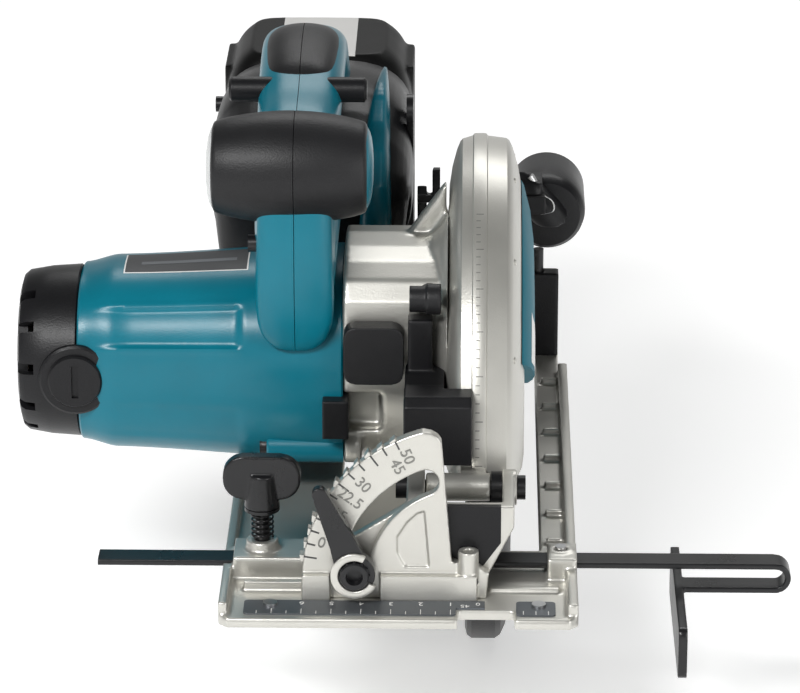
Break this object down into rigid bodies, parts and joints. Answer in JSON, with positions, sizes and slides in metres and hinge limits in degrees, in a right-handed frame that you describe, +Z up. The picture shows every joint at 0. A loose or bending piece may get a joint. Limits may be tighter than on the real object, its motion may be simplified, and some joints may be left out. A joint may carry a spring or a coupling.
{
  "type": "cordless circular saw",
  "caption": "Cordless circular saw with a side-mounted motor, D-handle, bevel and depth adjustment, swinging lower guard, rip fence and slide-off battery.",
  "frame": {"origin": "on the sole plane, below the arbor axis, in the mid-plane of the handle", "axes": "+X from the motor to the blade, +Y to the rear, +Z up"},
  "size_m": [0.2706, 0.345, 0.2171],
  "materials": {
    "silver_cast": "die-cast aluminium, satin paint",
    "ruler": "dark anodised strip with engraved graduations",
    "steel": "machined steel",
    "blade_steel": "ground steel",
    "black_steel": "black oxide or black paint",
    "teal_plastic": "satin teal glass-filled plastic",
    "black_plastic": "black textured plastic",
    "battery_plastic": "black plastic",
    "button_red": "black button",
    "rubber": "moulded elastomer, fine grain",
    "insert_grey": "pale insert",
    "carbon": "carbon block",
    "copper": "copper windings and segments",
    "board": "circuit board",
    "lens": "clear lens"
  },
  "bodies": {
    "base": {"base_plate": "silver_cast", "bevel_quadrant": "silver_cast", "ruler_plate": "ruler", "base_rivets": "steel", "bevel_pivot_pins": "black_steel", "wing_spring": "steel", "wing_washer": "steel", "wrench_holder": "black_plastic", "hex_wrench": "black_steel"},
    "tilt_frame": {"tilt_bracket": "silver_cast", "rear_bracket": "silver_cast", "depth_guide": "steel", "bevel_bolt": "steel", "bevel_washer": "silver_cast", "depth_pivot_pin": "black_steel"},
    "bevel_lock": {"bevel_lever": "black_steel"},
    "saw_body": {"gear_case": "silver_cast", "upper_guard": "silver_cast", "guard_cover": "teal_plastic", "motor_housing": "teal_plastic", "tail_cover": "black_plastic", "brush_caps": "black_plastic", "carbon_brushes": "carbon", "stator": "steel", "ball_bearings": "steel", "handle_left": "teal_plastic", "handle_right": "teal_plastic", "front_grip": "rubber", "grip_inserts": "insert_grey", "handle_pad": "rubber", "switch": "black_plastic", "control_board": "board", "battery_terminals": "black_plastic", "lamp_housing": "rubber", "lamp_lens": "lens", "chip_cover": "black_plastic", "rubber_stop": "rubber", "housing_screws": "black_steel", "dust_nozzle": "black_plastic", "guard_spring": "steel", "depth_bolt": "steel"},
    "blade_drive": {"spindle": "steel", "spur_gear": "steel", "blade_flanges": "steel", "blade_bolt": "black_steel", "blade": "blade_steel"},
    "armature": {"armature_shaft": "steel", "armature_core": "copper", "commutator": "copper", "fan": "black_plastic"},
    "lower_guard": {"lower_guard": "black_plastic", "guard_lever": "black_plastic"},
    "trigger": {"trigger": "black_plastic"},
    "lock_off": {"lock_off": "black_plastic"},
    "shaft_lock": {"shaft_lock": "black_plastic"},
    "battery": {"battery_case": "battery_plastic"},
    "battery_button": {"battery_button": "button_red"},
    "rip_fence": {"rip_fence": "black_steel"},
    "wing_screw": {"wing_screw": "black_steel"},
    "depth_lock": {"depth_lever": "black_steel"}
  },
  "joints": [
    {"name": "bevel_tilt", "type": "hinge", "parent": "base", "child": "tilt_frame", "pos_m": [0.0611, 0, 0.0098], "axis": [0, 1, 0], "range_deg": [0, 50]},
    {"name": "bevel_lock_turn", "type": "hinge", "parent": "tilt_frame", "child": "bevel_lock", "pos_m": [0.02297, -0.14, 0.01516], "axis": [0, 1, 0], "range_deg": [-45, 0]},
    {"name": "depth_tilt", "type": "hinge", "parent": "tilt_frame", "child": "saw_body", "pos_m": [0.06, -0.101, 0.029], "axis": [1, 0, 0], "range_deg": [0, 27]},
    {"name": "blade_spin", "type": "hinge", "parent": "saw_body", "child": "blade_drive", "pos_m": [0.066, 0, 0.0255], "axis": [1, 0, 0], "continuous": true},
    {"name": "armature_spin", "type": "hinge", "parent": "saw_body", "child": "armature", "pos_m": [-0.03, -0.0192, 0.0479], "axis": [1, 0, 0], "continuous": true},
    {"name": "lower_guard_swing", "type": "hinge", "parent": "saw_body", "child": "lower_guard", "pos_m": [0.066, 0, 0.0255], "axis": [1, 0, 0], "range_deg": [0, 105], "stiffness_Nm_per_rad": 0.12, "springref_deg": -34.38},
    {"name": "trigger_pull", "type": "hinge", "parent": "saw_body", "child": "trigger", "pos_m": [0, -0.0135, 0.126], "axis": [1, 0, 0], "range_deg": [0, 8], "stiffness_Nm_per_rad": 0.8, "springref_deg": -5.73},
    {"name": "lock_off_push", "type": "slide", "parent": "saw_body", "child": "lock_off", "axis": [1, 0, 0], "range_m": [-0.0025, 0.0025], "stiffness_N_per_m": 400},
    {"name": "shaft_lock_push", "type": "slide", "parent": "saw_body", "child": "shaft_lock", "axis": [0, 1, 0], "range_m": [0, 0.003], "stiffness_N_per_m": 500, "springref_m": -0.002},
    {"name": "battery_slide", "type": "slide", "parent": "saw_body", "child": "battery", "axis": [0, 0, 1], "range_m": [0, 0.075]},
    {"name": "battery_release", "type": "slide", "parent": "battery", "child": "battery_button", "axis": [0, -1, 0], "range_m": [0, 0.003], "stiffness_N_per_m": 500, "springref_m": -0.002},
    {"name": "fence_slide", "type": "slide", "parent": "base", "child": "rip_fence", "axis": [1, 0, 0], "range_m": [-0.03, 0.08]},
    {"name": "wing_turn", "type": "hinge", "parent": "base", "child": "wing_screw", "pos_m": [-0.0093, -0.114, 0.03], "axis": [0, 0, 1], "range_deg": [0, 720]},
    {"name": "depth_lock_turn", "type": "hinge", "parent": "saw_body", "child": "depth_lock", "pos_m": [0.043, 0.08589, 0.02247], "axis": [1, 0, 0], "range_deg": [-35, 0]}
  ],
  "couplings": [
    {"joint": "armature_spin", "follows": "blade_spin", "ratio": -2.4706}
  ]
}
